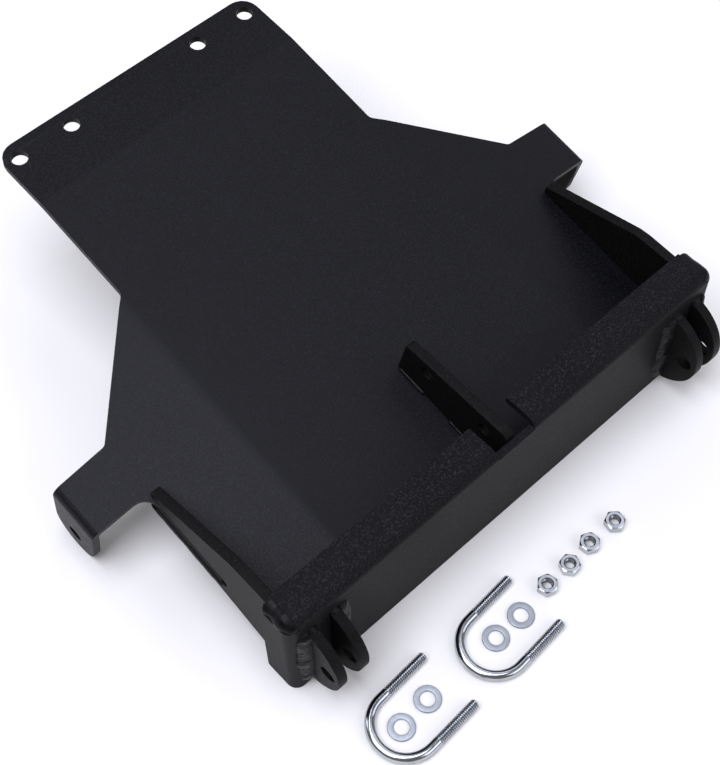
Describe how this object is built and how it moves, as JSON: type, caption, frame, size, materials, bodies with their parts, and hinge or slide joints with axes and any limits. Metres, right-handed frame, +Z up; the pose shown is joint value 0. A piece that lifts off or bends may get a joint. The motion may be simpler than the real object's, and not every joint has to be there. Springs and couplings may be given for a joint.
{
  "type": "atv plow mount",
  "caption": "Welded steel undercarriage mount for an atv snow plow: bent plate, side gussets, centre bracket and a crossbar with clevis ears, with loose U-bolt hardware.",
  "frame": {"origin": "floor point under the middle of the whole set's bounding box; X = 0 is the mount's plane of symmetry", "axes": "+Z up, +Y towards the rear strip with the U-bolt holes, -Y towards the clevis ears and the loose hardware, +X along the crossbar"},
  "size_m": [0.4008, 0.422, 0.106],
  "materials": {
    "powder_coat": "satin black powder coat",
    "coated_weld": "glossy black powder coat over weld metal",
    "bright_zinc": "bright zinc plating on steel",
    "dull_zinc": "dull zinc plating on stamped steel"
  },
  "bodies": {
    "weldment": {"main_plate": "powder_coat", "front_crossbar": "powder_coat", "left_corner_weld": "coated_weld", "right_corner_weld": "coated_weld", "left_side_gusset": "powder_coat", "right_side_gusset": "powder_coat", "centre_bracket": "powder_coat", "left_inner_ear": "powder_coat", "left_outer_ear": "powder_coat", "right_inner_ear": "powder_coat", "right_outer_ear": "powder_coat"},
    "u_bolt_1": {"u_bolt_1": "bright_zinc"},
    "u_bolt_2": {"u_bolt_2": "bright_zinc"},
    "hex_nut_1": {"hex_nut_1": "bright_zinc"},
    "hex_nut_2": {"hex_nut_2": "bright_zinc"},
    "hex_nut_3": {"hex_nut_3": "bright_zinc"},
    "hex_nut_4": {"hex_nut_4": "bright_zinc"},
    "flat_washer_1": {"flat_washer_1": "dull_zinc"},
    "flat_washer_2": {"flat_washer_2": "dull_zinc"},
    "flat_washer_3": {"flat_washer_3": "dull_zinc"},
    "flat_washer_4": {"flat_washer_4": "dull_zinc"}
  },
  "joints": [
    {"name": "u_bolt_1_lift", "type": "slide", "parent": "weldment", "child": "u_bolt_1", "axis": [0, 0, 1], "range_m": [0, 0.15]},
    {"name": "u_bolt_2_lift", "type": "slide", "parent": "weldment", "child": "u_bolt_2", "axis": [0, 0, 1], "range_m": [0, 0.15]},
    {"name": "hex_nut_1_lift", "type": "slide", "parent": "weldment", "child": "hex_nut_1", "axis": [0, 0, 1], "range_m": [0, 0.15]},
    {"name": "hex_nut_2_lift", "type": "slide", "parent": "weldment", "child": "hex_nut_2", "axis": [0, 0, 1], "range_m": [0, 0.15]},
    {"name": "hex_nut_3_lift", "type": "slide", "parent": "weldment", "child": "hex_nut_3", "axis": [0, 0, 1], "range_m": [0, 0.15]},
    {"name": "hex_nut_4_lift", "type": "slide", "parent": "weldment", "child": "hex_nut_4", "axis": [0, 0, 1], "range_m": [0, 0.15]},
    {"name": "flat_washer_1_lift", "type": "slide", "parent": "weldment", "child": "flat_washer_1", "axis": [0, 0, 1], "range_m": [0, 0.15]},
    {"name": "flat_washer_2_lift", "type": "slide", "parent": "weldment", "child": "flat_washer_2", "axis": [0, 0, 1], "range_m": [0, 0.15]},
    {"name": "flat_washer_3_lift", "type": "slide", "parent": "weldment", "child": "flat_washer_3", "axis": [0, 0, 1], "range_m": [0, 0.15]},
    {"name": "flat_washer_4_lift", "type": "slide", "parent": "weldment", "child": "flat_washer_4", "axis": [0, 0, 1], "range_m": [0, 0.15]}
  ]
}
